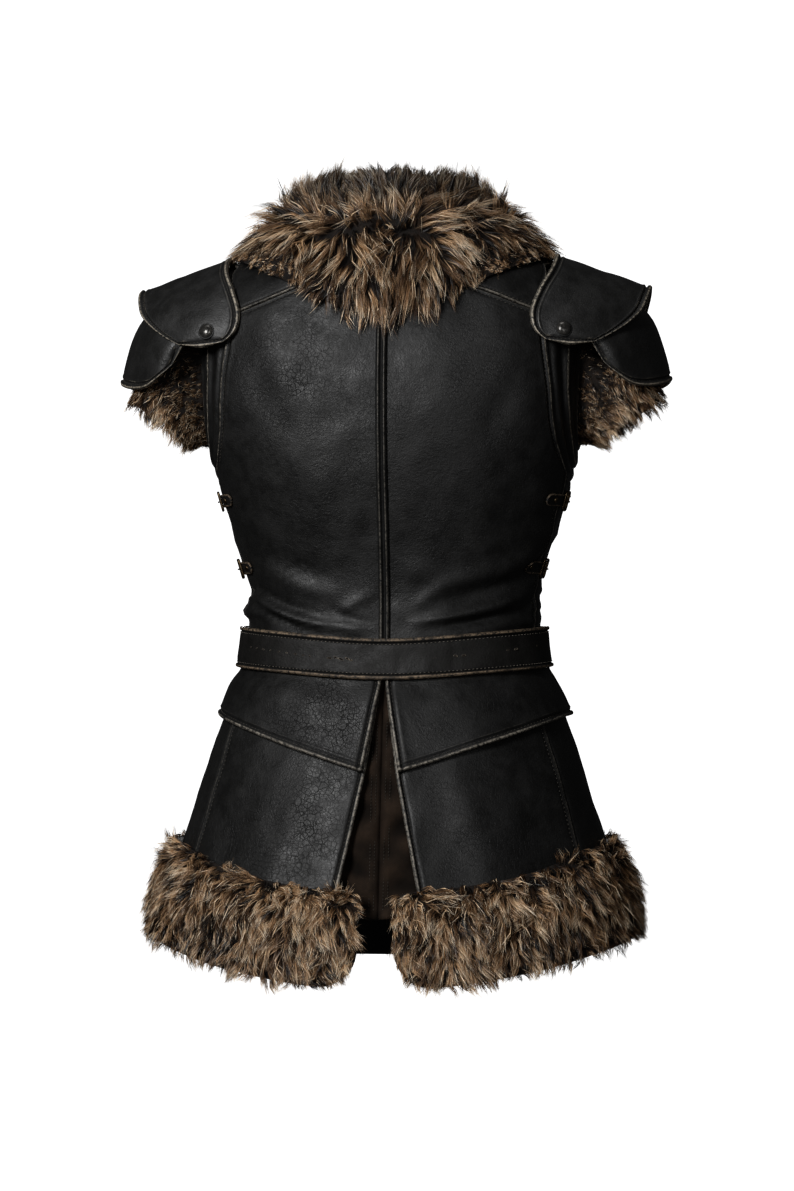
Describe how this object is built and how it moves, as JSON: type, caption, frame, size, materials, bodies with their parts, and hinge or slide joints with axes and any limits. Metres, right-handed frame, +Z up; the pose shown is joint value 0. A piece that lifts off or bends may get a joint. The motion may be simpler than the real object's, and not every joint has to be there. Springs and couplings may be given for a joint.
{
  "type": "fur-trimmed leather viking vest",
  "caption": "Belted sleeveless leather vest with fur shawl collar, layered shoulder caps, vented two-tier skirt and fur hem.",
  "frame": {"origin": "between the wearer's shoulders at the height of the side of the neck, where the vest hangs from the shoulders", "axes": "+Z up, +Y towards the wearer's back, which the picture shows, +X towards the wearer's left"},
  "size_m": [0.58, 0.4013, 0.8354],
  "materials": {
    "black_leather": "satin, worn grey-tan at the edges",
    "belt_leather": "satin, worn brown at the edges",
    "fur": "long shaggy pile, dark brown with tan and cream tips",
    "brown_cloth": "matt woven cloth",
    "aged_bronze": "dark antique, rubbed on the edges",
    "black_snap": "satin black enamel, worn"
  },
  "bodies": {
    "root": {"back_L": "black_leather", "back_R": "black_leather", "front_L": "black_leather", "front_R": "black_leather", "yoke_L": "black_leather", "yoke_R": "black_leather", "armhole_band_L": "black_leather", "armhole_band_R": "black_leather", "side_L": "black_leather", "side_R": "black_leather", "skirt_back_L": "black_leather", "skirt_back_R": "black_leather", "skirt_side_L": "black_leather", "skirt_side_R": "black_leather", "skirt_front_L": "black_leather", "skirt_front_R": "black_leather", "flap_back_L": "black_leather", "flap_back_R": "black_leather", "flap_front_L": "black_leather", "flap_front_R": "black_leather", "cap_upper_L": "black_leather", "cap_upper_R": "black_leather", "cap_lower_L": "black_leather", "cap_lower_R": "black_leather", "back_strip": "black_leather", "front_band": "black_leather", "front_band_low": "black_leather", "belt_strap": "belt_leather", "belt_keeper": "belt_leather", "side_strap_upper_L": "belt_leather", "side_strap_upper_R": "belt_leather", "side_strap_lower_L": "belt_leather", "side_strap_lower_R": "belt_leather", "fur_collar": "fur", "hem_fur_L": "fur", "hem_fur_R": "fur", "fur_sleeve_L": "fur", "fur_sleeve_R": "fur", "underlay_L": "brown_cloth", "underlay_R": "brown_cloth", "belt_buckle": "aged_bronze", "belt_prong": "aged_bronze", "side_buckle_upper_L": "aged_bronze", "side_buckle_upper_R": "aged_bronze", "side_buckle_lower_L": "aged_bronze", "side_buckle_lower_R": "aged_bronze", "side_prong_upper_L": "aged_bronze", "side_prong_upper_R": "aged_bronze", "side_prong_lower_L": "aged_bronze", "side_prong_lower_R": "aged_bronze", "side_rivet_upper_L": "aged_bronze", "side_rivet_upper_R": "aged_bronze", "side_rivet_lower_L": "aged_bronze", "side_rivet_lower_R": "aged_bronze", "snap_L": "black_snap", "snap_R": "black_snap"}
  },
  "joints": []
}
